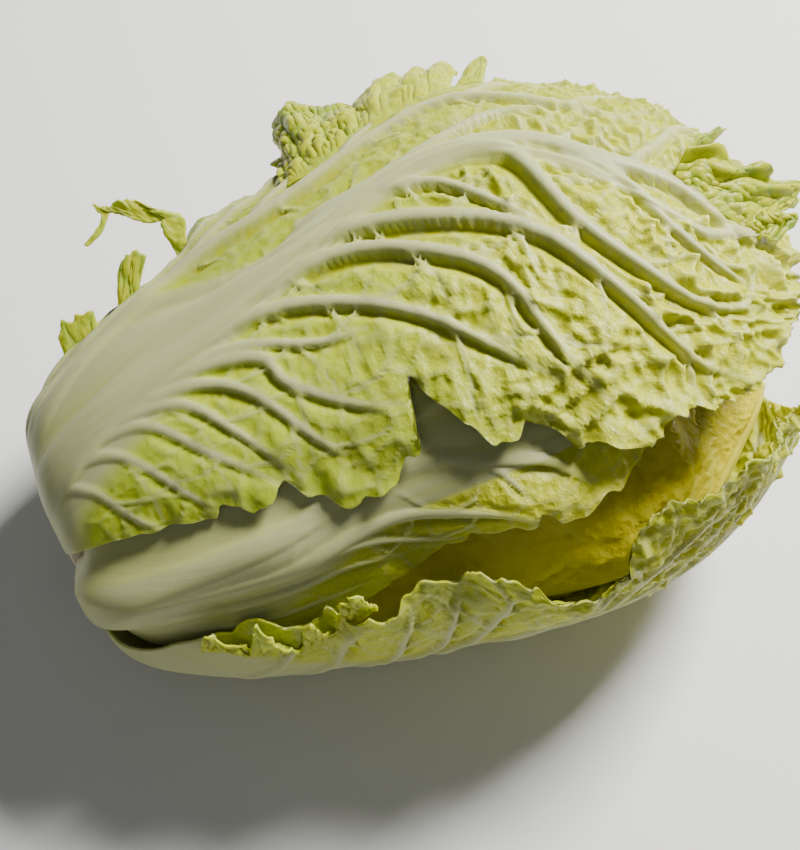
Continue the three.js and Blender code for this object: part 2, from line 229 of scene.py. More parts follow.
stalk = {"width": [(0, 24), (60, 29), (100, 27), (150, 20), (200, 12), (260, 6), (330, 3)],
         "thickness": [(0, 1), (60, 1), (130, 0.7), (200, 0.35), (270, 0.14), (330, 0.05)], "ofMargin": 0.66}


def stalkThickness(leaf, s, distance, margin):
    # thickest along the midrib and at the butt, nothing at the margin
    middle = leaf["petiole"] * readTable(stalk["thickness"], s)
    width = np.minimum(readTable(stalk["width"], s), stalk["ofMargin"] * margin)
    return middle * (1 - smooth(distance / width, 0.4, 1.5))


def leafEnd(leaf, share):
    # the leaf's length at a share of its half width: the tip less a drop that grows with the square
    return leaf["tip"] - leaf["drop"] * share * share


def roomOf(leaf, s, theta):
    # the depth that a leaf takes from the leaves inside it, fading out past its margin and tip
    turn = wrap(theta - np.radians(readTable(leaf["middle"], s)))
    margin = np.radians(np.where(turn > 0, readTable(leaf["near"], s), readTable(leaf["far"], s)))
    distance = np.abs(turn) * girth(s)
    beside = np.maximum(distance - margin * girth(s), 0)
    beyond = np.maximum(s - leafEnd(leaf, np.minimum(np.abs(turn) / margin, 1)), 0)
    fade = head["fadeAtButt"] + (head["fade"] - head["fadeAtButt"]) * smooth(s, 0, 90)
    cover = 1 - smooth(np.hypot(beside, beyond) / fade, 0.1, 1)
    return (leaf["room"] + stalkThickness(leaf, s, distance, margin * girth(s))) * cover


def cavity(s, theta):
    # how much deeper the inner leaves lie in the open side and at the tip, less the bulge where they stand full:
    # soft round dips, each the exponential of minus the squared distances
    turn = wrap(theta - np.radians(head["cavityTurn"])) / np.radians(head["cavityWidth"])
    along = (s - head["cavityAt"]) / head["cavityLength"]
    below = wrap(theta - np.radians(head["fullTurn"])) / np.radians(head["fullWidth"])
    return (head["cavityDepth"] * np.exp(-turn * turn - along * along)
            + head["tipDip"] * np.exp(-turn * turn) * smooth(s, head["tipFrom"], head["tipTo"])
            - head["fullRise"] * np.exp(-below * below - ((s - head["fullAt"]) / head["fullLength"])**2))


def layerDepth(order, s, theta):
    # how deep a leaf's outer face lies: the sum of the room that the leaves outside it take
    depth = cavity(s, theta) if order >= firstWhorl else np.zeros(np.broadcast(s, theta).shape)
    for outer in leaves[:order]:
        depth = depth + roomOf(outer, s, theta)
    return depth


def noise(x, y, seed, size):
    # smooth random hills: values on a square lattice of the given size, blended with soft steps
    rng = np.random.default_rng(seed)
    lattice = rng.uniform(-1, 1, (128, 128))
    u = np.asarray(x, float) / size + 1000
    w = np.asarray(y, float) / size + 1000
    i, j = np.floor(u).astype(int), np.floor(w).astype(int)
    fu, fw = u - i, w - j
    fu, fw = fu * fu * (3 - 2 * fu), fw * fw * (3 - 2 * fw)
    at = lambda a, b: lattice[a % 128, b % 128]
    return ((at(i, j) * (1 - fu) + at(i + 1, j) * fu) * (1 - fw)
            + (at(i, j + 1) * (1 - fu) + at(i + 1, j + 1) * fu) * fw)


def cells(x, y, seed, size):
    # cells about seeded points, of the given size: the distance from the nearest point, a cone in every cell with
    # sharp ridges between, and how much further the next one is, 0 on the lines between cells
    rng = np.random.default_rng(seed)
    jitter = rng.uniform(0.08, 0.92, (64, 64, 2))
    u = np.asarray(x, float) / size + 640
    w = np.asarray(y, float) / size + 640
    i, j = np.floor(u).astype(int), np.floor(w).astype(int)
    nearest = np.full(u.shape, 9.0)
    second = np.full(u.shape, 9.0)
    for a in (-1, 0, 1):
        for b in (-1, 0, 1):
            point = jitter[(i + a) % 64, (j + b) % 64]
            distance = np.hypot(i + a + point[..., 0] - u, j + b + point[..., 1] - w)
            second = np.minimum(second, np.maximum(distance, nearest))
            nearest = np.minimum(nearest, distance)
    return nearest, second - nearest


def smoothLine(points, count):
    # a smooth line through points, with equal steps of its own parameter
    points = np.array(points, float)
    spots = np.linspace(0, len(points) - 1, count)
    return np.stack([readTable(list(enumerate(points[:, k])), spots) for k in range(points.shape[1])], -1)


# a rib's section in its own widths, and how far its effect reaches in millimetres
ribForm = {"steps": 26, "reach": 16.0, "round": 1.3, "furrowAt": 1.9, "furrowWidth": 1.05, "furrowShare": 0.78,
           "mainWidth": 1.5}


def layRibs(a, c, ribs):
    # round ribs along lines, each a half ellipse across with a bell-shaped furrow on both sides; the highest rib and
    # the deepest furrow win. also the distance from the nearest main rib and the length along it, for the folds
    rise, furrow, white = np.zeros(a.shape), np.zeros(a.shape), np.zeros(a.shape)
    away, run = np.full(a.shape, 30.0), a.copy()
    for rib in ribs:
        line = smoothLine(rib["line"], ribForm["steps"])
        reach = ribForm["reach"]
        inside = ((a > line[:, 0].min() - reach) & (a < line[:, 0].max() + reach)
                  & (c > line[:, 1].min() - reach) & (c < line[:, 1].max() + reach))
        if not inside.any():
            continue
        point = np.stack([a[inside], c[inside]], -1)[:, None, :]
        start, step = line[:-1], np.diff(line, axis=0)
        lengths = np.linalg.norm(step, axis=1)
        along = np.clip(((point - start) * step).sum(-1) / lengths**2, 0, 1)
        offset = point - start - along[..., None] * step
        distance = np.linalg.norm(offset, axis=-1)
        best = distance.argmin(1)
        pick = np.arange(len(best))
        distance = distance[pick, best]
        side = np.sign(step[best, 0] * offset[pick, best, 1] - step[best, 1] * offset[pick, best, 0])
        share = (best + along[pick, best]) / (len(line) - 1)
        width = rib["width"][0] + (rib["width"][1] - rib["width"][0]) * share
        height = (rib["rise"][0] + (rib["rise"][1] - rib["rise"][0]) * share) * smooth(share, -0.02, 0.14)
        height = height * (1 - smooth(share, 0.85, 1.02))
        dip = ribForm["furrowShare"] * rib["dip"] * smooth(share, 0.02, 0.25) * (1 - smooth(share, 0.8, 1.0))
        bump = np.sqrt(np.clip(1 - (distance / (ribForm["round"] * width))**2, 0, 1))
        signed, beside, spread = distance * side, ribForm["furrowAt"] * width, ribForm["furrowWidth"] * width
        valley = np.exp(-((signed - beside) / spread)**2)
        valley = valley + rib["farDip"] * np.exp(-((signed + beside) / spread)**2)
        rise[inside] = np.maximum(rise[inside], height * bump)
        furrow[inside] = np.maximum(furrow[inside], dip * valley)
        tone = rib["tone"] * (1 - smooth(distance / width, 0.75, 1.35)) * (1 - 0.6 * smooth(share, 0.7, 1.0))
        white[inside] = np.maximum(white[inside], tone)
        if rib["width"][0] > ribForm["mainWidth"]:
            nearer = distance < away[inside]
            away[inside] = np.where(nearer, distance, away[inside])
            run[inside] = np.where(nearer, share * lengths.sum() + 7 * line[0, 0], run[inside])
    return rise, furrow * (1 - np.minimum(white, 1)), white, away, run


def branchesOf(ribs, seed, every):
    # small ribs that leave the main ones by turns on both sides, about every so many millimetres, each a curve that
    # sets out along the rib and turns away from it, with seeded lengths and bends
    rng = np.random.default_rng(seed)
    made = []
    for rib in ribs:
        if rib["width"][0] < 1.6:
            continue
        line = smoothLine(rib["line"], 60)
        lengths = np.concatenate([[0], np.cumsum(np.linalg.norm(np.diff(line, axis=0), axis=1))])
        side = rng.choice([-1, 1])
        spot = lengths[-1] * 0.25 + rng.uniform(0, every)
        while spot < lengths[-1] * 0.93:
            k = min(int(np.searchsorted(lengths, spot)), len(line) - 2)
            forward = (line[k + 1] - line[k]) / np.linalg.norm(line[k + 1] - line[k])
            across = np.array([-forward[1], forward[0]]) * side
            long = rng.uniform(0.7, 1.35)
            bend = rng.uniform(-3, 3)
            path = [line[k] + long * (forward * u + across * w)
                    for u, w in ((0, 0), (5, 2.5), (10, 6.5 + bend / 2), (14, 12 + bend), (16, 17))]
            size = 0.6 + 0.4 * smooth(line[k, 0], 90, 200)
            made.append({"line": path, "width": (0.9 * size, 0.5), "rise": (1.1 * size, 0.3), "dip": 0.8 * size**3,
                         "farDip": 0.8, "tone": 0.6})
            side = -side
            spot += every * rng.uniform(0.7, 1.3)
    return made


def ribLine(line, width, rise, dip, farDip=0.25, tone=1.0):
    # a rib along a line, its half width and its height from start to end, the depth of the furrow beside it, the
    # share of that on its other side, and how white it is
    return {"line": line, "width": width, "rise": rise, "dip": dip, "farDip": farDip, "tone": tone}


# the ribs as they run on the outer faces: length along the head in millimetres, angle round it in degrees
firstRibs = [
    ribLine([(30, 4), (110, -13), (167, -23), (202, -25), (236, -21), (259, -11), (283, 0), (299, 16), (331, 30)],
            (4.4, 1.7), (3.6, 2.2), 3.6, 0.5),
    ribLine([(24, -17), (56, -29), (90, -36), (120, -40), (153, -39), (189, -43), (222, -46), (247, -37),
             (270, -28), (300, -20)],
            (3.6, 1.3), (3.4, 1.6), 2.6, 0.9),
    ribLine([(156, -27), (180, -26), (212, -29), (236, -32), (257, -29)], (2.4, 1.1), (2.6, 1.2), 2.6, 0.9),
    ribLine([(200, -24), (220, -22), (232, -16), (239, 1), (251, 14), (268, 28), (294, 38)],
            (3.0, 1.2), (3.4, 1.8), 4.6),
    ribLine([(249, -14), (261, -6), (270, 8), (282, 22), (292, 30)], (2.0, 0.9), (2.4, 1.0), 2.6),
    ribLine([(150, -24), (172, -26), (192, -21), (205, -17), (222, -4), (231, 3)], (2.4, 1.0), (2.6, 1.0), 3.6),
    ribLine([(24, -3), (62, -11), (100, -17), (134, -20), (168, -18), (201, -9), (226, 2), (243, 20),
             (256, 38), (268, 46)],
            (3.6, 1.2), (3.6, 1.8), 4.8),
    ribLine([(26, 4), (60, -5), (95, -12), (130, -15), (164, -13), (190, -4), (208, 7), (214, 22), (223, 38)],
            (3.4, 1.2), (3.4, 1.8), 3.6),
    ribLine([(28, 10), (56, -1), (88, -9), (128, -10), (156, -3), (180, 8), (197, 20), (210, 29)],
            (2.9, 1.0), (2.9, 1.4), 2.6),
    ribLine([(90, -7), (119, -5), (144, 3), (161, 5)], (2.0, 0.8), (1.8, 0.8), 1.1),
    ribLine([(80, -7), (106, -5), (125, 0), (130, 8), (147, 18), (161, 22)], (2.4, 1.0), (2.0, 1.0), 1.3),
    ribLine([(74, -5), (100, -2), (117, 6), (132, 22), (138, 27)], (2.1, 0.8), (1.7, 0.8), 1.0),
    ribLine([(62, -5), (92, 0), (107, 12), (121, 27)], (2.0, 0.8), (1.5, 0.7), 0.9),
    ribLine([(52, -3), (79, 1), (96, 14), (114, 27)], (1.9, 0.8), (1.3, 0.6), 0.8),
    ribLine([(44, -1), (67, 5), (83, 20), (90, 27)], (1.7, 0.7), (1.1, 0.5), 0.6),
    ribLine([(34, 1), (52, 10), (63, 22), (70, 27)], (1.6, 0.7), (0.9, 0.5), 0.5),
    ribLine([(228, -44), (242, -50), (256, -58)], (2.0, 0.9), (1.8, 0.7), 1.8, 0.8),
    ribLine([(262, -6), (285, -14), (305, -26), (325, -34)], (2.0, 0.9), (2.2, 1.0), 2.2, 0.8),
    ribLine([(262, -32), (284, -40), (304, -52)], (1.8, 0.8), (1.6, 0.7), 1.8, 0.8),
    ribLine([(286, 4), (306, 4), (330, 2)], (1.8, 0.8), (1.8, 0.7), 2.0, 0.8),
    ribLine([(24, -25), (54, -37), (84, -42), (112, -50), (135, -60), (150, -68)], (2.4, 0.9), (2.2, 0.9), 2.4, 0.9),
    ribLine([(100, -38), (128, -48), (150, -56), (170, -68)], (2.4, 0.9), (2.2, 0.9), 2.4, 0.9),
    ribLine([(140, -42), (165, -50), (185, -60), (200, -72)], (2.2, 0.9), (2.0, 0.8), 2.2, 0.8),
    ribLine([(178, -44), (200, -54), (215, -64), (228, -76)], (2.2, 0.9), (2.0, 0.8), 2.2, 0.8),
    ribLine([(20, -32), (40, -42), (64, -50), (90, -56), (118, -66)], (2.0, 0.8), (1.6, 0.7), 1.8, 0.8),
]
secondRibs = [
    ribLine([(40, 114), (100, 110), (160, 108), (220, 104), (280, 96), (325, 92)], (3.4, 1.2), (2.4, 1.2), 1.4, 0.9),
    ribLine([(70, 106), (84, 94), (94, 82), (102, 71)], (1.9, 0.8), (1.9, 0.8), 2.0),
    ribLine([(88, 108), (104, 98), (114, 77), (121, 65)], (2.0, 0.8), (2.0, 0.8), 2.2),
    ribLine([(110, 108), (125, 98), (132, 78), (140, 62)], (2.1, 0.9), (2.1, 0.8), 2.4),
    ribLine([(122, 106), (140, 98), (148, 80), (156, 63)], (1.9, 0.8), (2.0, 0.8), 2.2),
    ribLine([(135, 106), (152, 97), (161, 83), (170, 70), (177, 65)], (2.2, 0.9), (2.2, 0.9), 2.6),
    ribLine([(158, 106), (177, 98), (187, 90), (200, 84), (216, 72)], (2.2, 0.9), (2.2, 0.9), 2.4),
    ribLine([(150, 104), (178, 101), (199, 91), (221, 79), (244, 71), (263, 66)], (2.4, 1.0), (2.3, 1.0), 2.6),
    ribLine([(200, 103), (222, 92), (240, 82), (256, 70)], (1.9, 0.8), (1.9, 0.8), 2.2),
    ribLine([(224, 101), (246, 91), (262, 80), (276, 68)], (1.9, 0.8), (1.9, 0.8), 2.2),
    ribLine([(250, 97), (268, 88), (284, 78)], (1.7, 0.7), (1.7, 0.7), 2.0),
]
for n in range(7):  # and those that run down under the head
    s = 50 + 36 * n
    secondRibs.append(
        ribLine([(s, 114 - n), (s + 26, 126), (s + 50, 146), (s + 66, 168)], (2.0, 0.8), (1.4, 0.6), 1.2))
fourthRibs = [
    ribLine([(40, 46), (93, 42), (115, 40), (134, 36), (160, 36), (182, 40), (197, 44), (209, 51)],
            (3.6, 1.3), (2.6, 1.6), 2.2, 0.3),
    ribLine([(45, 54), (90, 53), (108, 51), (128, 47), (145, 46), (161, 48), (176, 51), (190, 55)],
            (3.2, 1.0), (2.4, 1.2), 2.2, 0.2),
    ribLine([(45, 62), (80, 61), (105, 59), (123, 56), (142, 57)], (2.4, 0.9), (1.7, 0.8), 1.6, 0.2),
    ribLine([(112, 50), (130, 50), (146, 53), (162, 57)], (1.6, 0.7), (1.3, 0.7), 1.3, 0.2),
    ribLine([(60, 70), (90, 69), (112, 66), (128, 63)], (1.8, 0.7), (1.1, 0.5), 1.1, 0.2),
    ribLine([(120, 36), (150, 28), (180, 24), (205, 22)], (2.2, 0.8), (1.8, 0.8), 1.6, 0.5),
    ribLine([(165, 37), (180, 42), (188, 50)], (1.2, 0.6), (1.0, 0.5), 1.0, 0.4),
    ribLine([(178, 39), (196, 38), (212, 40), (226, 44)], (1.4, 0.7), (1.2, 0.5), 1.2, 0.5),
]


def sideRibs(leaf):
    # a leaf's own ribs: the midrib, and side ribs that leave it along a curve to the margin
    rng = np.random.default_rng(leaf["seed"])
    count = leaf["ribCount"]

    def chart(s, v):
        # the angle at a length and a share of the half width
        margin = readTable(leaf["near"] if v > 0 else leaf["far"], s)
        return s, float(readTable(leaf["middle"], s) + v * margin)

    ribs = [ribLine([chart(s, 0) for s in np.linspace(20, leaf["tip"] - 12, 8)], (3.2, 1.0), (2.2, 1.0), 1.6, 1.0)]
    for side in (-1, 1):
        for n in range(count):
            start = 40 + (leaf["tip"] - 90) * (n + 0.5 * (side > 0) + rng.uniform(-0.2, 0.2)) / count
            bend = rng.uniform(0.85, 1.15)
            route = [(0, 0.03), (24, 0.12), (48, 0.32), (70, 0.6), (88, 0.9)]
            line = [chart(min(start + bend * ds, leaf["tip"] - 8), side * v) for ds, v in route]
            size = 1 - 0.45 * n / count
            ribs.append(ribLine(line, (2.5 * size, 0.9), (2.2 * size, 0.8), 2.4 * leaf["crinkle"], 0.6))
            for fork in (1, 2):
                s0, v0 = start + bend * (30 + 26 * fork), 0.18 + 0.25 * fork
                turn = rng.choice([-1, 1])
                branch = [chart(min(s0 + ds, leaf["tip"] - 6), side * min(max(v0 + turn * dv, 0.05), 0.97))
                          for ds, dv in ((0, 0), (9, 0.03), (20, 0.12), (30, 0.26))]
                ribs.append(ribLine(branch, (1.1, 0.6), (1.0, 0.4), 1.1 * leaf["crinkle"], 0.6, 0.8))
    return ribs


leafRibs = {"leaf_01": firstRibs, "leaf_02": secondRibs, "leaf_04": fourthRibs}


# a blade's relief in millimetres: the crumple is cones in large and small cells, bent by a warp, on soft hills
relief = {
    "thickness": 0.9, "warp": 5, "warpSize": 16, "cell": 9.5, "cellHeight": 5.5, "smallCell": 5.0, "smallHeight": 5,
    "cellMean": 0.22, "hill": 18, "smallHill": 9, "hillHeight": 1.3, "net": 0.55, "smallNet": 0.3,
    "tooth": 7, "smallTooth": 3, "toothHeight": 1.5, "ruffle": 12, "ruffleHeight": 3.0, "smallRuffle": 6,
    "smallRuffleHeight": 1.3, "strandsPerStalk": 1.7, "midribRise": 1.4,
}


def leafGrid(order):
    # a closed sheet: an outer face with ribs, furrows and crinkles, an inner face a blade's thickness inside it
    leaf = leaves[order]
    rows, columns, seed = leaf["rows"], leaf["columns"], leaf["seed"]
    u = np.linspace(0, 1, rows + 1)[:, None]
    t = u * (1.3 - 0.3 * u)  # rows closer together toward the tip
    v = np.linspace(-1, 1, columns + 1)[None, :]
    share = np.abs(v)
    s = leafEnd(leaf, share) * t
    middle = readTable(leaf["middle"], s)
    near = readTable(leaf["nearForm"], s) - middle if "nearForm" in leaf else readTable(leaf["near"], s)
    far = middle - readTable(leaf["farForm"], s) if "farForm" in leaf else readTable(leaf["far"], s)
    nearEdge = readTable(leaf["nearEdge"], s) - middle if "nearEdge" in leaf else near - 1
    farEdge = middle - readTable(leaf["farEdge"], s) if "farEdge" in leaf else far - 1
    tooth = noise(s, 0 * v, seed + 3, relief["tooth"]) + 0.7 * noise(s, 0 * v, seed + 4, relief["smallTooth"])
    limit = np.where(v > 0, nearEdge, farEdge) + relief["toothHeight"] * tooth * smooth(s, 40, 90)
    reach = share * np.where(v > 0, near, far)
    reach = limit - 0.6 * np.log1p(np.exp((limit - reach) / 0.6))  # the broad form cut back softly to the edge
    share = np.clip(reach / limit, 0, 1)
    edge = share**4 * smooth(s, 50, 120)
    flare = np.where(v > 0, readTable(leaf["nearFlare"], s), readTable(leaf["farFlare"], s))
    flare = flare * share**3
    flatTheta = np.radians(middle + np.sign(v) * reach)
    theta = flatTheta - np.sign(v) * 0.7 * flare / girth(s)
    bodyMargin = np.radians(np.where(v > 0, readTable(leaf["near"], s), readTable(leaf["far"], s)))
    distance = np.radians(reach) * girth(s)
    paleMiddle = readTable(leaf["paleMiddle"], s) if "paleMiddle" in leaf else middle
    fromPale = (flatTheta - np.radians(paleMiddle)) * girth(s)
    paleWidth = readTable(leaf["pale"], s) * np.where(fromPale > 0, 1, readTable(leaf["paleFar"], s))
    fromStalk = np.abs(fromPale) / paleWidth  # 0 on the stalk's middle, 1 at its side

    # chart of the face in millimetres, about the leaf's angle at the butt
    about = np.radians(leaf["middle"][0][1])
    a = s + 0 * v
    c = (flatTheta - about) * girth(s)
    charted = []
    for one in leafRibs[leaf["name"]] if leaf["name"] in leafRibs else sideRibs(leaf):
        line = np.array(one["line"], float)
        across = np.radians(line[:, 1]) - about
        charted.append(dict(one, line=np.stack([line[:, 0], across * girth(line[:, 0])], -1)))
    charted = charted + branchesOf(charted, seed + 20, leaf["branchEvery"])
    rise, furrow, white, away, run = layRibs(a, c, charted)

    old = smooth(s, 90, 230)  # crinkles grow toward the tip
    offStalk = smooth(fromStalk, 0.8, 1.6)  # and start beside the stalk
    warpA = a + relief["warp"] * noise(a, c, seed + 1, relief["warpSize"])
    warpC = c + relief["warp"] * noise(a, c, seed + 2, relief["warpSize"])
    cone, gap = cells(warpA * 0.8, warpC, seed + 5, relief["cell"])
    smallCone, smallGap = cells(warpA, warpC * 0.85, seed + 6, relief["smallCell"])
    net = 1 - smooth(gap, 0.0, 0.22)
    small = 1 - smooth(smallGap, 0.0, 0.3)
    puff = noise(a, c, seed + 7, relief["hill"]) + 0.6 * noise(a, c, seed + 8, relief["smallHill"])
    mean = relief["cellMean"]
    crumple = (relief["cellHeight"] * (cone**2 - mean) * (1 + 0.9 * noise(a, c, seed + 13, 26))
               + relief["smallHeight"] * (smallCone**2 - mean) * (1 - 0.5 * noise(a, c, seed + 14, 22)))
    # small folds that run across from one rib to the next, and the swelling of the blade between them
    swing = 2 * np.pi * (run - 0.8 * away + 3.5 * noise(a, c, seed + 15, 12)) / leaf["foldEvery"]
    foldShare = smooth(away, 5, 10) * np.exp(-(away / 16)**2)
    fold = 2 * (0.5 + 0.5 * np.cos(swing))**1.6 - 1
    pillow = 1 - np.exp(-(away / 5)**2)
    calm = 1 - leaf["calmFar"] * smooth(-np.degrees(flatTheta), 15, 40) * (1 - smooth(s, 255, 300))
    size = leaf["crinkle"] * (0.4 + 0.6 * old) * calm
    blade = size * (relief["hillHeight"] * puff + pillow + (0.15 + 0.85 * smooth(s, 130, 250)) * crumple
                    + leaf["folds"] * (0.2 + 0.5 * old) * fold * foldShare)
    blade = blade + leaf["crinkle"] * (relief["net"] * net + relief["smallNet"] * small)
    blade = blade * (1 - 0.8 * smooth(furrow, 0.4, 1.8))  # calm in the furrows
    blade = (blade - furrow) * offStalk * (1 - np.minimum(white, 1))
    ruffle = edge * leaf["crinkle"] * (relief["ruffleHeight"] * noise(a, c, seed + 9, relief["ruffle"])
                                       + relief["smallRuffleHeight"] * noise(a, c, seed + 10, relief["smallRuffle"]))
    # the stalk's strands, with soft creases between them
    strand = np.sin(np.pi * relief["strandsPerStalk"] * fromStalk * np.sign(fromPale) + 0.6)
    strand = np.sqrt(0.06 + 0.94 * strand**2)
    inStalk = 1 - smooth(fromStalk, 0.8, 1.4)
    ribRise = (rise * (0.45 + 0.55 * smooth(fromStalk, 0.1, 1.0))
               + relief["midribRise"] * (1 - smooth(fromStalk, 0, 1.6)) * smooth(s, 20, 90))
    ribRise = ribRise + leaf["strands"] * (strand**0.6 - 0.7) * inStalk * smooth(s, 8, 40)

    layer = layerDepth(order, s, theta)
    level = leaf["base"] - blade - ribRise
    deepest = leaf["room"] - relief["thickness"] - 0.9
    level = deepest - 1.2 * np.log1p(np.exp((deepest - level) / 1.2))  # a soft floor, clear of the next leaf
    level = level - flare + ruffle
    outer = place(s, theta, layer + level, layer + 0 * v)
    thickness = relief["thickness"] + stalkThickness(leaf, s, distance, bodyMargin * girth(s))
    inner = place(s, theta, layer + level + thickness, layer + thickness)

    # the tint: how pale, how much painted shade (where the blade sinks into folds and hollows, and toward the tip), how
    # warm, how green
    paleStalk = (1 - 0.3 * (1 - strand) * inStalk) * (1 - smooth(fromStalk, 0.8, 1.25) * smooth(s, 12, 40))
    veinTone = (0.32 * net + 0.14 * small + 0.1 * smooth(fold, 0.5, 1) * foldShare) * offStalk
    # painted shade: the blade goes toward the darker, more saturated fold colour where it sinks, as if shaded in its
    # folds
    foldShade = smooth(-blade, -1.0, 2.4)
    tint = np.stack([
        np.clip(np.maximum(np.maximum(white, paleStalk), veinTone), 0, 1),
        # more painted shade toward the leaf's tip
        np.clip(foldShade + leaf["tipShade"] * smooth(s, 220, 290), 0, 1),
        leaf["warmth"][0] + (leaf["warmth"][1] - leaf["warmth"][0]) * smooth(s, 110, 260) + 0 * v,
        np.clip(readTable(leaf["green"], s) * share**3 * np.where(v > 0, leaf["greenNear"], 1)
                + leaf["tipGreen"] * smooth(s, 290, 325) * smooth(-v, -0.1, 0.25)
                + leaf["sideGreen"] * smooth(s, 60, 130) * smooth(-np.degrees(flatTheta), -12, 20), 0, 1)], -1)
    return np.stack([outer, inner]), np.stack([tint, tint]), np.stack([c, a], -1)


def shellMesh(name, points, tint, chart):
    # joins two like grids of points into one closed shell, the same way on both faces
    rows, columns = points.shape[1] - 1, points.shape[2] - 1
    index = np.arange(2 * (rows + 1) * (columns + 1)).reshape(2, rows + 1, columns + 1)
    out, back = index
    quads = [
        np.stack([out[:-1, :-1], out[:-1, 1:], out[1:, 1:], out[1:, :-1]], -1).reshape(-1, 4),
        np.stack([back[:-1, :-1], back[1:, :-1], back[1:, 1:], back[:-1, 1:]], -1).reshape(-1, 4),
        np.stack([out[:-1, 0], out[1:, 0], back[1:, 0], back[:-1, 0]], -1),
        np.stack([out[:-1, -1], back[:-1, -1], back[1:, -1], out[1:, -1]], -1),
        np.stack([out[0, :-1], back[0, :-1], back[0, 1:], out[0, 1:]], -1),
        np.stack([out[-1, :-1], out[-1, 1:], back[-1, 1:], back[-1, :-1]], -1)]
    return meshObject(name, points.reshape(-1, 3), np.concatenate(quads), tint.reshape(-1, 4),
                      np.concatenate([chart.reshape(-1, 2)] * 2))


def meshObject(name, points, quads, tint, chart):
    # a mesh of four-sided faces, with its chart as a UV map (100 mm to one unit) and its tint by vertex
    mesh = bpy.data.meshes.new(name)
    mesh.vertices.add(len(points))
    mesh.vertices.foreach_set("co", points.astype(np.float32).ravel())
    mesh.loops.add(quads.size)
    mesh.loops.foreach_set("vertex_index", quads.astype(np.int32).ravel())
    mesh.polygons.add(len(quads))
    mesh.polygons.foreach_set("loop_start", np.arange(0, quads.size, quads.shape[1], dtype=np.int32))
    mesh.polygons.foreach_set("use_smooth", np.ones(len(quads), bool))
    uv = mesh.uv_layers.new(name="sheet")
    uv.data.foreach_set("uv", (chart / 100)[quads.ravel()].astype(np.float32).ravel())
    colour = mesh.attributes.new("tint", "FLOAT_COLOR", "POINT")
    colour.data.foreach_set("color", tint.astype(np.float32).ravel())
    mesh.update(calc_edges=True)
    mesh.validate()
    piece = bpy.data.objects.new(name, mesh)
    bpy.context.scene.collection.objects.link(piece)
    return piece


def turnedQuads(count, columns):
    # the faces of a form turned round its axis: rings one after another, the first and the last ring one point each.
    # the faces at those two points repeat a corner, and the mesh's validation drops them, so both ends stay open
    index = np.arange(count * columns).reshape(count, columns)
    index[0] = 0
    index[-1] = index[-1, 0]
    beside = np.roll(index, -1, axis=1)
    return np.stack([index[:-1], beside[:-1], beside[1:], index[1:]], -1).reshape(-1, 4)


def finishPiece(piece, cadNode, material):
    # the piece stands for its CAD node and rides on the one body
    piece.data.materials.append(material)
    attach(piece, "root")
    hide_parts(cadNode)


def node(tree, kind, at, **values):
    # a new node at a place in the tree, with its properties
    made = tree.nodes.new(kind)
    made.location = at
    for key, value in values.items():
        setattr(made, key, value)
    return made


def plug(tree, value, socket):
    # a link or a plain value into a socket
    if isinstance(value, bpy.types.NodeSocket):
        tree.links.new(value, socket)
    else:
        socket.default_value = value


def pattern(tree, kind, at, source, settings, **values):
    # a texture node with its settings, laid out by the source's places
    made = node(tree, kind, at, **values)
    for key, value in settings.items():
        made.inputs[key].default_value = value
    tree.links.new(source, made.inputs["Vector"])
    return made


def mixColour(tree, at, factor, first, second, kind="MIX"):
    # two colours mixed by a factor
    mix = node(tree, "ShaderNodeMix", at, data_type="RGBA", blend_type=kind)
    for socket, value in ((0, factor), (6, first), (7, second)):
        plug(tree, value, mix.inputs[socket])
    return mix.outputs[2]


def maths(tree, at, operation, *given):
    # one step of arithmetic
    made = node(tree, "ShaderNodeMath", at, operation=operation)
    for socket, value in enumerate(given):
        plug(tree, value, made.inputs[socket])
    return made.outputs[0]


# the fine detail of a leaf's surface, laid out on its chart: noise settings, and the shares in colour and height
leafDetail = {
    "veins": {"Scale": 9.0, "Detail": 3.0, "Roughness": 0.6, "Lacunarity": 2.3, "Distortion": 0.35},
    "veinFrom": 0.9, "veinTo": 1.9, "veinShare": 0.22, "veinHeight": 0.4,
    "fine": {"Scale": 42.0, "Detail": 3.0, "Roughness": 0.6, "Distortion": 0.6},
    "fineHeight": 0.09, "warmFineHeight": 0.26,
    "creases": {"Scale": 34.0}, "creaseBend": (0.04, 0.04, 0.04), "creaseHeight": 0.05, "warmCreaseHeight": 0.65,
    "calmInFolds": -0.85,
    "stripes": {"Scale": 1.0, "Detail": 3.0}, "stripeStretch": (60, 2.2, 1), "stripeHeight": 0.06,
    "darkStripe": (0.88, 0.9, 0.83, 1), "lightStripe": (1.07, 1.06, 1.07, 1),
    "grain": {"Scale": 210.0, "Detail": 1.0}, "grainHeight": 0.06,
    # foldShare is how far the painted shade goes toward the darker fold colour
    "greenShare": 0.8, "foldShare": 0.9, "firmShare": 1.8, "roughness": 0.36, "roughnessSpread": 0.12,
}


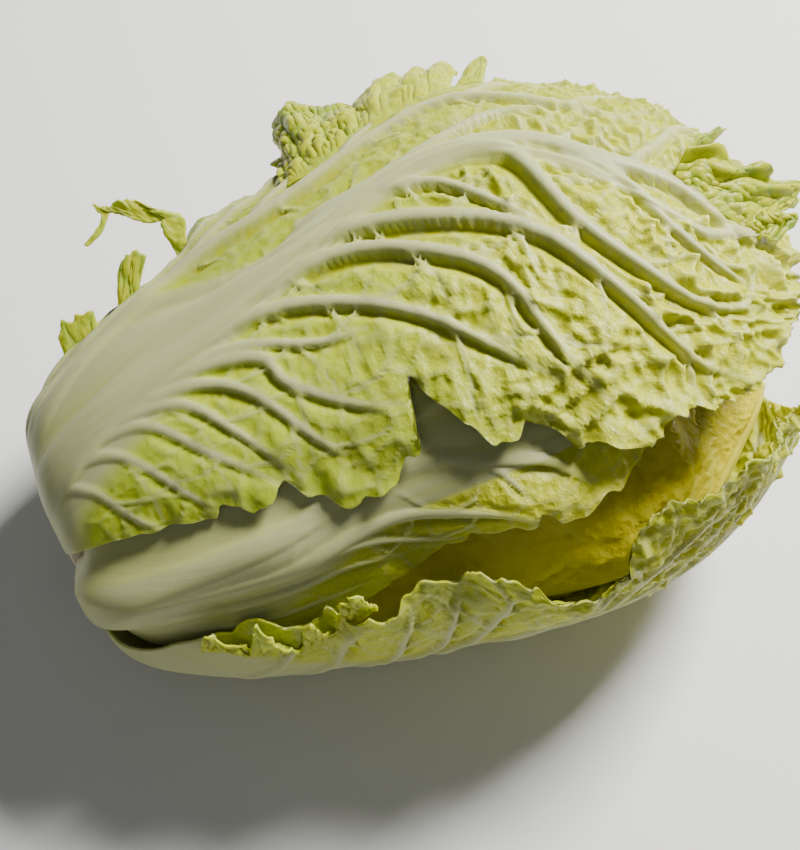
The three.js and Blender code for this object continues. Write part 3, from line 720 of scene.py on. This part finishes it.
def leafSurfaceGroup():
    # colour, roughness and fine height of a leaf: pale ribs, fine vein net, striped stalk
    detail = leafDetail
    group = bpy.data.node_groups.new("leafSurface", "ShaderNodeTree")
    kinds = {"Chart": "Vector", "Tint": "Color", "Edge": "Float", "Blade": "Color", "Warm Blade": "Color",
             "Green": "Color", "Fold Shade": "Color", "Rib": "Color"}
    for name, kind in kinds.items():
        group.interface.new_socket(name=name, in_out="INPUT", socket_type="NodeSocket" + kind)
    for name, kind in {"Color": "Color", "Roughness": "Float", "Height": "Float"}.items():
        group.interface.new_socket(name=name, in_out="OUTPUT", socket_type="NodeSocket" + kind)
    come = node(group, "NodeGroupInput", (-1400, 0))
    leave = node(group, "NodeGroupOutput", (900, 0))
    chart = come.outputs["Chart"]
    parts = node(group, "ShaderNodeSeparateColor", (-1200, 100))
    group.links.new(come.outputs["Tint"], parts.inputs[0])
    white, foldShade, warm = parts.outputs

    # the patterns
    veins = pattern(group, "ShaderNodeTexNoise", (-1000, -300), chart, detail["veins"],
                    noise_type="RIDGED_MULTIFRACTAL")
    line = node(group, "ShaderNodeMapRange", (-700, -300), interpolation_type="SMOOTHSTEP")
    line.inputs["From Min"].default_value = detail["veinFrom"]
    line.inputs["From Max"].default_value = detail["veinTo"]
    group.links.new(veins.outputs["Fac"], line.inputs["Value"])
    fine = pattern(group, "ShaderNodeTexNoise", (-1000, -560), chart, detail["fine"])
    stretch = pattern(group, "ShaderNodeMapping", (-1200, -800), chart, {"Scale": detail["stripeStretch"]})
    stripes = pattern(group, "ShaderNodeTexNoise", (-1000, -800), stretch.outputs["Vector"], detail["stripes"])
    grain = pattern(group, "ShaderNodeTexNoise", (-1000, -1300), chart, detail["grain"])
    bend = node(group, "ShaderNodeVectorMath", (-800, -1000), operation="MULTIPLY_ADD")
    bend.inputs[1].default_value = detail["creaseBend"]
    group.links.new(fine.outputs["Color"], bend.inputs[0])
    group.links.new(chart, bend.inputs[2])
    crease = pattern(group, "ShaderNodeTexVoronoi", (-600, -1000), bend.outputs[0], detail["creases"])

    # colour: the blade from fresh to warm, green toward the margin, with painted shade in the folds, hollows and tips,
    # then veins and pale ribs
    bladeTone = mixColour(group, (-400, 300), warm, come.outputs["Blade"], come.outputs["Warm Blade"])
    green = maths(group, (-600, 60), "MULTIPLY", come.outputs["Edge"], detail["greenShare"])
    bladeTone = mixColour(group, (-200, 300), green, bladeTone, come.outputs["Green"])
    # painted shade: the blade mixed toward the darker fold colour by the tint's second channel
    foldShadeShare = maths(group, (-600, 200), "MULTIPLY", foldShade, detail["foldShare"])
    bladeTone = mixColour(group, (0, 300), foldShadeShare, bladeTone, come.outputs["Fold Shade"])
    veinShare = maths(group, (-200, -300), "MULTIPLY", line.outputs[0], detail["veinShare"])
    veined = mixColour(group, (200, 300), veinShare, bladeTone, come.outputs["Rib"])
    stripeTone = mixColour(group, (0, 0), stripes.outputs["Fac"], detail["darkStripe"], detail["lightStripe"])
    ribTone = mixColour(group, (200, 0), 1.0, come.outputs["Rib"], stripeTone, "MULTIPLY")
    colour = mixColour(group, (400, 300), white, veined, ribTone)
    group.links.new(colour, leave.inputs["Color"])
    rough = maths(group, (400, -100), "MULTIPLY_ADD", stripes.outputs["Fac"], detail["roughnessSpread"],
                  detail["roughness"])
    group.links.new(rough, leave.inputs["Roughness"])

    # height: creases, veins and fine bumps on the blade, less in the folds; stripes and grain on the ribs
    raised = maths(group, (-400, -1200), "MULTIPLY_ADD", foldShade, detail["calmInFolds"], 1.0)
    creaseShare = maths(group, (-400, -1000), "MULTIPLY_ADD", warm, detail["warmCreaseHeight"],
                        detail["creaseHeight"])
    creases = maths(group, (-200, -1000), "MULTIPLY", crease.outputs["Distance"], creaseShare)
    creases = maths(group, (-100, -1100), "MULTIPLY", creases, raised)
    veinHeight = maths(group, (-200, -500), "MULTIPLY_ADD", line.outputs[0], detail["veinHeight"], creases)
    fineShare = maths(group, (-200, -700), "MULTIPLY_ADD", warm, detail["warmFineHeight"], detail["fineHeight"])
    fineShare = maths(group, (-100, -700), "MULTIPLY", fineShare, raised)
    bladeHeight = maths(group, (0, -500), "MULTIPLY_ADD", fine.outputs["Fac"], fineShare, veinHeight)
    grainHeight = maths(group, (-100, -1300), "MULTIPLY", grain.outputs["Fac"], detail["grainHeight"])
    ribHeight = maths(group, (0, -700), "MULTIPLY_ADD", stripes.outputs["Fac"], detail["stripeHeight"], grainHeight)
    firm = maths(group, (100, -850), "MULTIPLY", white, detail["firmShare"])
    firm.node.use_clamp = True
    height = node(group, "ShaderNodeMix", (300, -500), data_type="FLOAT")
    for socket, value in ((0, firm), (2, bladeHeight), (3, ribHeight)):
        group.links.new(value, height.inputs[socket])
    group.links.new(height.outputs[0], leave.inputs["Height"])
    return group


leafSurface = leafSurfaceGroup()


# the leaves' colours, and how much light goes through them. the fold colour is the painted shade that the folds,
# hollows and tips are darkened toward
looks = {
    "outerLeaf": {"Blade": (0.39, 0.49, 0.022), "Warm Blade": (0.525, 0.535, 0.014), "Green": (0.075, 0.155, 0.001),
                  "Fold Shade": (0.34, 0.36, 0.002), "Rib": (0.40, 0.42, 0.21), "glow": 0.8},
    "innerLeaf": {"Blade": (0.62, 0.57, 0.014), "Warm Blade": (0.64, 0.53, 0.004), "Green": (0.42, 0.46, 0.01),
                  "Fold Shade": (0.56, 0.44, 0.002), "Rib": (0.60, 0.55, 0.06), "glow": 0.85},
}
leafSkin = {"IOR": 1.42, "Specular IOR Level": 0.35, "Subsurface Radius": (1.0, 1.0, 0.4), "Subsurface Scale": 0.003}
leafBump = {"Strength": 0.8, "Distance": 0.0016}


def leafMaterial(name):
    # a leaf's skin: the surface group on the sheet's chart and tint, with light going a little way in
    material = bpy.data.materials.new(name)
    material.use_nodes = True
    tree = material.node_tree
    tree.nodes.clear()
    chart = node(tree, "ShaderNodeUVMap", (-900, 0), uv_map="sheet")
    tint = node(tree, "ShaderNodeAttribute", (-900, -200), attribute_name="tint", attribute_type="GEOMETRY")
    surface = node(tree, "ShaderNodeGroup", (-600, 0))
    surface.node_tree = leafSurface
    tree.links.new(chart.outputs[0], surface.inputs["Chart"])
    tree.links.new(tint.outputs["Color"], surface.inputs["Tint"])
    tree.links.new(tint.outputs["Alpha"], surface.inputs["Edge"])
    for socket in ("Blade", "Warm Blade", "Green", "Fold Shade", "Rib"):
        surface.inputs[socket].default_value = (*looks[name][socket], 1)
    bump = node(tree, "ShaderNodeBump", (-300, -300))
    for socket, value in leafBump.items():
        bump.inputs[socket].default_value = value
    tree.links.new(surface.outputs["Height"], bump.inputs["Height"])
    skin = node(tree, "ShaderNodeBsdfPrincipled", (-100, 100))
    for socket, value in leafSkin.items():
        skin.inputs[socket].default_value = value
    skin.inputs["Subsurface Weight"].default_value = looks[name]["glow"]
    tree.links.new(surface.outputs["Color"], skin.inputs["Base Color"])
    tree.links.new(surface.outputs["Roughness"], skin.inputs["Roughness"])
    tree.links.new(bump.outputs[0], skin.inputs["Normal"])
    end = node(tree, "ShaderNodeOutputMaterial", (400, 0))
    tree.links.new(skin.outputs[0], end.inputs["Surface"])
    return material


outerLook, innerLook = leafMaterial("outerLeaf"), leafMaterial("innerLeaf")
print("made the leaves' materials")

for order, leaf in enumerate(leaves):
    points, tint, chart = leafGrid(order)
    piece = shellMesh(leaf["name"] + "_fine", points, tint, chart)
    finishPiece(piece, leaf["name"], outerLook if leaf["slot"] == "outer_leaf" else innerLook)
    print("made", piece.name, len(piece.data.polygons) * 2, "triangles")


# small torn and curled bits that stand out from the margins, each between two lines of (length along the head,
# angle round it, depth below its outline): root inside the leaf, free in the air. long and wide are the bit's size
frills = [
    {"name": "leaf_01_shred", "node": "leaf_01", "rows": 70, "columns": 10, "long": 60, "wide": 9, "wave": 1.6,
     "crumple": 1.0, "seed": 5, "green": 0.45,
     "root": [(115, -56, 11), (117, -56, 1), (121, -56, -7.3), (110, -56, -12.4), (104, -56, -21.6), (98, -56, -26.4)],
     "free": [(108, -56, 9), (112, -56, -5.4), (113, -56, -15.4), (109, -56, -25.1), (101, -56, -26.8),
              (98.5, -56, -31.2)]},
    {"name": "leaf_01_shredEnd", "node": "leaf_01", "rows": 30, "columns": 6, "long": 20, "wide": 3, "wave": 0.5,
     "crumple": 0.4, "seed": 6, "green": 0.6,
     "root": [(103, -56, -24), (101, -56, -24), (95, -56, -19.8), (88, -56, -19.2)],
     "free": [(102, -56, -26.8), (100, -56, -26.5), (95, -56, -22.4), (87.5, -56, -20.4)]},
    {"name": "leaf_01_bit", "node": "leaf_01", "rows": 30, "columns": 12, "long": 16, "wide": 8, "wave": 0.8,
     "crumple": 1.6, "seed": 21, "green": 0.9, "root": [(82, -50, 5), (87, -50, 5), (91, -50, 5)],
     "free": [(90, -50, -5), (96, -50, -8.5), (99, -50, -8), (103, -50, -5)]},
    {"name": "leaf_01_lowBit", "node": "leaf_01", "rows": 30, "columns": 10, "long": 18, "wide": 6, "wave": 0.8,
     "crumple": 1.2, "seed": 22, "green": 0.8, "root": [(56, -50, 5), (64, -50, 5), (73, -50, 5)],
     "free": [(60, -50, -2.5), (66, -50, -5), (71, -50, -5), (76, -50, -1.5)]},
    {"name": "leaf_01_curl", "node": "leaf_01", "rows": 90, "columns": 44, "long": 44, "wide": 22, "wave": 2.0,
     "crumple": 2.4, "pleat": 2.4, "seed": 8, "green": 1.0,
     "root": [(280, 0, 2.5), (288, 5, 2.5), (297, 11, 2.5), (303, 15, 2.5), (308, 20, 2.5)],
     "free": [(289, -8, -4), (300, -6, -7), (306, -1, -6), (315, 0, -9), (324, 4, -8), (336, 7, -11), (330, 12, -9),
              (316, 14, -5), (318, 19, -8), (308, 22, -4)]},
    {"name": "leaf_01_smallCurl", "node": "leaf_01", "rows": 30, "columns": 14, "long": 12, "wide": 9, "wave": 1.0,
     "crumple": 1.5, "seed": 9, "green": 0.8,
     "root": [(286, -5, 2), (291, -6, 2), (295, -6, 2)],
     "free": [(294, -10, -7), (301, -12, -9), (310, -16, -8)]},
    {"name": "leaf_01_lobe", "node": "leaf_01", "rows": 120, "columns": 64, "long": 52, "wide": 30, "wave": 2.8,
     "crumple": 3.6, "pleat": 1.2, "seed": 14, "green": 1.0,
     "root": [(156, -46, 3), (166, -45, 3), (178, -46, 3), (190, -48, 3), (203, -50, 3)],
     "free": [(161, -74, -3), (166, -78, -9), (172, -78, -19.5), (182, -78, -20), (193, -78, -13), (205, -78, -8),
              (210, -76, -3)]},
    {"name": "leaf_01_paleLobe", "node": "leaf_01", "rows": 70, "columns": 40, "long": 36, "wide": 22, "wave": 2.0,
     "crumple": 2.0, "pleat": 0.8, "seed": 15, "green": 0.3,
     "root": [(192, -50, 3), (204, -51, 3), (216, -52, 3), (229, -54, 3)],
     "free": [(201, -76, -8.5), (208, -76, -14.6), (218, -76, -12.1), (227, -76, -12), (232, -76, -13),
              (237, -74, -5)]},
    {"name": "leaf_01_peak", "node": "leaf_01", "rows": 30, "columns": 16, "long": 14, "wide": 10, "wave": 1.0,
     "crumple": 1.5, "seed": 16, "green": 0.8,
     "root": [(232, -58, 2), (238, -58, 2), (243, -58, 2)],
     "free": [(242, -68, -5), (246, -69, -9.5), (248, -68, -6)]},
    {"name": "leaf_02_frill", "node": "leaf_02", "rows": 170, "columns": 24, "long": 70, "wide": 14, "wave": 2.2,
     "crumple": 3.5, "seed": 17, "green": 0.1,
     "root": [(64, 78, 6), (76, 81, 6), (88, 83, 5), (98, 82, 5), (108, 78, 5), (118, 72, 4), (128, 67, 3)],
     "free": [(67, 69, 2), (74, 59, -3), (82, 74, 3), (90, 60, -4), (98, 75, 2), (106, 61, -4), (112, 70, 1),
              (120, 56, -5), (129, 62, -3)]},
]
# a bit's thickness, and the sizes along it of its tears, ridges, waves and pleats, in millimetres
frillForm = {"thickness": 0.8, "tornLobe": 5, "tornTooth": 2.4, "ridge": 6, "smallRidge": 2, "wave": 9,
             "smallWave": 4, "pleat": 13, "pleatShift": 6, "pleatSize": 11}


def sheetFacing(points):
    # the unit normals of a grid of points
    facing = np.cross(np.gradient(points, axis=1), np.gradient(points, axis=0))
    return facing / np.maximum(np.linalg.norm(facing, axis=-1, keepdims=True), 1e-9)


def frillPiece(frill, look):
    # a thin closed sheet drawn straight between its two lines, waved and crinkled along its own normal, more so
    # toward the free line, which is cut in soft lobes
    rows, columns, seed = frill["rows"], frill["columns"], frill["seed"]
    root = smoothLine(frill["root"], rows + 1)[:, None, :]
    free = smoothLine(frill["free"], rows + 1)[:, None, :]
    u = np.linspace(0, 1, rows + 1)[:, None]
    w = np.linspace(0, 1, columns + 1)[None, :]
    along = u * frill["long"]
    torn = noise(along, 0 * w, seed, frillForm["tornLobe"]), noise(along, 0 * w, seed + 1, frillForm["tornTooth"])
    w = w * (1 + 0.16 * torn[0] + 0.1 * torn[1])
    spot = root * (1 - w[..., None]) + free * w[..., None]
    front = placeFree(spot[..., 0], np.radians(spot[..., 1]), spot[..., 2]) + shift
    a, c = along + 0 * w, w * frill["wide"] + 0 * u
    ridge = (0.55 * (1 - np.abs(noise(a, c, seed + 10, frillForm["ridge"])))**4
             + 0.45 * (1 - np.abs(noise(a, c, seed + 11, frillForm["smallRidge"])))**3)
    pleats = a + frillForm["pleatShift"] * noise(a, c, seed + 12, frillForm["pleatSize"])
    pleats = np.sin(2 * np.pi * pleats / frillForm["pleat"]) * w
    hills = noise(a, c, seed + 2, frillForm["wave"]) + 0.5 * noise(a, c, seed + 3, frillForm["smallWave"])
    wave = (frill["wave"] * (0.15 + 0.85 * w) * hills + frill["crumple"] * (ridge - 0.4) * smooth(w, 0, 0.2)
            + frill.get("pleat", 0) * pleats)
    front = front + sheetFacing(front) * wave[..., None]
    ends = np.minimum(1, 8 * np.minimum(u, 1 - u) + 0.4)[..., None]
    back = front - frillForm["thickness"] * ends * sheetFacing(front)
    # the tint: paler on the ridges, painted shade in the hollows between them, greener toward the free line
    tint = np.stack([0.05 + 0.3 * smooth(ridge, 0.6, 0.95), 1 - smooth(ridge, 0.15, 0.55), 0.2 + 0 * a,
                     np.clip(frill["green"] * (0.4 + 0.6 * w) + 0 * a, 0, 1)], -1)
    piece = shellMesh(frill["name"], np.stack([front, back]) / 1000, np.stack([tint, tint]), np.stack([c, a], -1))
    finishPiece(piece, frill["node"], look)


for frill in frills:
    frillPiece(frill, outerLook)
print("made", len(frills), "frills")


# the heart, in millimetres: how many leaf edges show, the height of their steps, of the ribs and of the crumple,
# and how deep the ends lie
heart = {"rows": 170, "columns": 210, "below": 3, "edges": 5, "twist": 190, "step": 3.0, "ribs": 15, "rib": 0.9,
         "crumple": 2.4, "cellSize": 8.0, "seed": 91, "buttDepth": 39, "tipDepth": 36, "tipFold": 2,
         "tint": (0.3, 0.3, 0.9)}  # how pale, how much painted shade (toward the darker fold colour), how warm


def heartPiece():
    # the heart: the innermost layer all the way round, its leaf edges as steps with ribs between. a step's
    # height grows round the head from nothing to the next leaf's edge, and the edges wind slowly along the head
    rows, columns = heart["rows"], heart["columns"]
    s = np.linspace(0, outlineLength, rows + 1)[:, None]
    theta = np.linspace(0, 2 * np.pi, columns + 1)[None, :-1]
    toTip = smooth(s, outlineLength - 50, outlineLength - 15)
    toButt = 1 - smooth(s, 15, 60)
    settled = np.maximum(toTip, toButt)
    turns = heart["edges"] * theta / (2 * np.pi) + s / heart["twist"] + 0.02 * np.sin(s / 7)
    step = turns - np.floor(turns)
    step = step * (1 - smooth(step, 0.94, 1.0))
    c = theta * girth(s)
    a = s + 0 * theta
    cone = cells(a + 3 * noise(a, c, heart["seed"] + 1, 12), c, heart["seed"], heart["cellSize"])[0]
    raised = (heart["step"] * step + heart["rib"] * np.sin(theta * heart["ribs"] + 2 * np.sin(s / 30)) * (1 - step)
              - heart["crumple"] * (cone - 0.45))
    depth = layerDepth(len(leaves), s, theta) + heart["below"] + raised * smooth(s, 60, 120) * (1 - toTip)
    tipFolds = heart["tipFold"] * np.sin(heart["edges"] * theta + s / 12)
    depth = depth * (1 - settled) + heart["buttDepth"] * toButt + (heart["tipDepth"] + tipFolds) * toTip
    ring = place(s, theta, depth, depth)
    cap = ring[:1].mean(1, keepdims=True) + 0 * ring[:1]
    end = ring[-1:].mean(1, keepdims=True) + 0 * ring[:1]
    points = np.concatenate([cap, ring[:-1], end])
    count = points.shape[0]
    pale, foldShade, warm = heart["tint"]
    tint = np.zeros((count, columns, 4))
    tint[..., 0] = pale * (1 - smooth(np.linspace(0, outlineLength, count), 60, 160))[:, None]
    tint[..., 1:3] = foldShade, warm
    chart = np.stack([np.resize(c, (count, columns)), np.resize(a, (count, columns))], -1)
    piece = meshObject("heart_fine", points.reshape(-1, 3), turnedQuads(count, columns), tint.reshape(-1, 4),
                       chart.reshape(-1, 2))
    finishPiece(piece, "heart", innerLook)
    print("made heart")


heartPiece()


# the stub: radius and distance along the head in millimetres, from the cut face's middle to the inner end
core = {"profile": [(0, 0.6), (6, 0.2), (11, -0.4), (15, -0.8), (16.8, -0.4), (17.4, 1), (17.4, 10), (17, 20),
                    (13, 26), (6, 28.6), (0, 29)],
        "rings": 60, "columns": 96, "unround": 0.02, "cutRoughness": 0.5,
        "grain": {"Scale": 160, "Detail": 5}, "dark": (0.42, 0.33, 0.18, 1), "pale": (0.78, 0.74, 0.58, 1),
        "roughness": 0.7, "bump": 0.001}


def coreLook():
    # the cut stem: pale and matt, browned in a fine grain
    material = bpy.data.materials.new("cutStem")
    material.use_nodes = True
    tree = material.node_tree
    skin = tree.nodes["Principled BSDF"]
    skin.inputs["Roughness"].default_value = core["roughness"]
    spot = node(tree, "ShaderNodeTexCoord", (-900, 0))
    grain = pattern(tree, "ShaderNodeTexNoise", (-700, 0), spot.outputs["Object"], core["grain"])
    tone = mixColour(tree, (-400, 0), grain.outputs["Fac"], core["dark"], core["pale"])
    tree.links.new(tone, skin.inputs["Base Color"])
    bump = node(tree, "ShaderNodeBump", (-300, -300))
    bump.inputs["Distance"].default_value = core["bump"]
    tree.links.new(grain.outputs["Fac"], bump.inputs["Height"])
    tree.links.new(bump.outputs[0], skin.inputs["Normal"])
    return material


def corePiece():
    # the stub: a profile turned about the head's axis, its cut face a little uneven
    columns = core["columns"]
    line = smoothLine(core["profile"], core["rings"])
    turn = np.linspace(0, 2 * np.pi, columns + 1)[None, :-1]
    r, x = line[:, 0][:, None], line[:, 1][:, None]
    r = np.minimum(np.maximum(r, 0) * (1 + core["unround"] * np.sin(3 * turn + 1)), head["coreRadius"])
    x = x + core["cutRoughness"] * noise(r * np.cos(turn), r * np.sin(turn), 7, 5) * (x < 1) + 0 * turn
    y, z = -r * np.sin(turn) * head["width"], r * np.cos(turn) * head["height"]
    points = np.stack([x * np.cos(pitch) - z * np.sin(pitch), y + 0 * x, x * np.sin(pitch) + z * np.cos(pitch)], -1)
    points = ((points + shift) / 1000).reshape(-1, 3)
    piece = meshObject("core_fine", points, turnedQuads(core["rings"], columns), np.zeros((len(points), 4)),
                       points[:, 1:] * 1000)
    finishPiece(piece, "core", coreLook())


corePiece()
print("pieces made")

# camera: angles in degrees, distances in metres from the head's butt
camera = {"azimuth": -23, "elevation": 62, "distance": 0.56, "target": (0.140, 0, 0.020), "lens": 65.2,
          "shift": (-0.035, -0.062)}


def placeCamera():
    # the camera stands back from its target at two angles, upright; also gives its axes for the lamps
    az, el = np.radians(camera["azimuth"]), np.radians(camera["elevation"])
    back = Vector((np.sin(az) * np.cos(el), -np.cos(az) * np.cos(el), np.sin(el)))
    right = Vector((np.cos(az), np.sin(az), 0))
    up = back.cross(right)
    target = Vector(camera["target"]) + Vector(shift / 1000)
    eye = bpy.data.cameras.new("camera")
    eye.lens, eye.shift_x, eye.shift_y = camera["lens"], *camera["shift"]
    seat = bpy.data.objects.new("camera", eye)
    turn = Matrix((right, up, back)).transposed().to_4x4()
    seat.matrix_world = Matrix.Translation(target + back * camera["distance"]) @ turn
    bpy.context.scene.collection.objects.link(seat)
    bpy.context.scene.camera = seat
    return back, right, target


back, right, target = placeCamera()
floor = {"half": 3.0, "colour": (0.74, 0.74, 0.735, 1), "roughness": 0.8}
lamps = {  # distances from the head in metres, size in metres, power in watts
    "window": {"behind": 0.66, "up": 1.04, "right": 0.66, "size": 0.42, "power": 66, "colour": (1.0, 0.98, 0.94)},
    "fill": {"behind": -0.9, "up": 0.9, "right": 0, "size": 1.4, "power": 1.5, "colour": (1.0, 0.98, 0.93)},
}
room = {"colour": (0.9, 0.93, 1.0, 1), "strength": 0.125}


def floorPiece():
    # a plain square at the height of the surface
    half = floor["half"]
    mesh = bpy.data.meshes.new("floor")
    mesh.from_pydata([(-half, -half, 0), (half, -half, 0), (half, half, 0), (-half, half, 0)], [], [(0, 1, 2, 3)])
    piece = bpy.data.objects.new("floor", mesh)
    bpy.context.scene.collection.objects.link(piece)
    material = bpy.data.materials.new("floor")
    material.use_nodes = True
    skin = material.node_tree.nodes["Principled BSDF"]
    skin.inputs["Base Color"].default_value = floor["colour"]
    skin.inputs["Roughness"].default_value = floor["roughness"]
    mesh.materials.append(material)


def lampAt(name, lamp):
    # a square lamp at its distances from the head, as the camera sees them, turned to the head
    light = bpy.data.lights.new(name, "AREA")
    light.size, light.energy, light.color = lamp["size"], lamp["power"], lamp["colour"]
    seat = bpy.data.objects.new(name, light)
    behind = Vector((-back[0], -back[1], 0)).normalized()
    seat.location = target + behind * lamp["behind"] + Vector((0, 0, lamp["up"])) + right * lamp["right"]
    seat.rotation_euler = (target - seat.location).to_track_quat("-Z", "Y").to_euler()
    bpy.context.scene.collection.objects.link(seat)


floorPiece()
for name, lamp in lamps.items():
    lampAt(name, lamp)
world = bpy.data.worlds.new("room")
bpy.context.scene.world = world
world.use_nodes = True
world.node_tree.nodes["Background"].inputs[0].default_value = room["colour"]
world.node_tree.nodes["Background"].inputs[1].default_value = room["strength"]
print("camera, floor and lights set")
